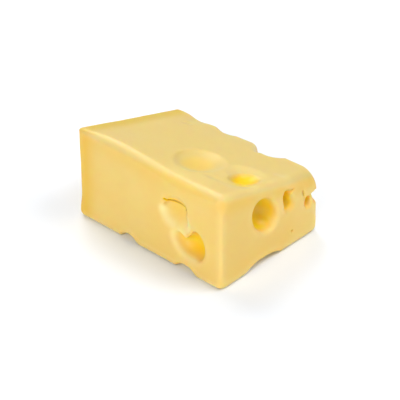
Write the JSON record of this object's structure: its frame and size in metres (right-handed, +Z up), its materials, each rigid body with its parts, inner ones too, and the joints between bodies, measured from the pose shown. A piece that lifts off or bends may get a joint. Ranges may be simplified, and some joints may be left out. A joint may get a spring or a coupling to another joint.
{
  "type": "cheese wedge",
  "caption": "Solid block of holey hard cheese with a sloping top and softly rounded edges, lying on its flat base.",
  "frame": {"origin": "middle of the flat base's outline, on the surface that the cheese lies on", "axes": "+X along the length, towards the end with the round eye; +Y across the width, towards the low side; +Z up"},
  "size_m": [0.12, 0.089, 0.0655],
  "materials": {
    "cheese_paste": "ivory-yellow hard cheese paste, slightly translucent, with a soft satin sheen and deeper yellow eyes"
  },
  "bodies": {
    "root": {"cheese": "cheese_paste"}
  },
  "joints": []
}
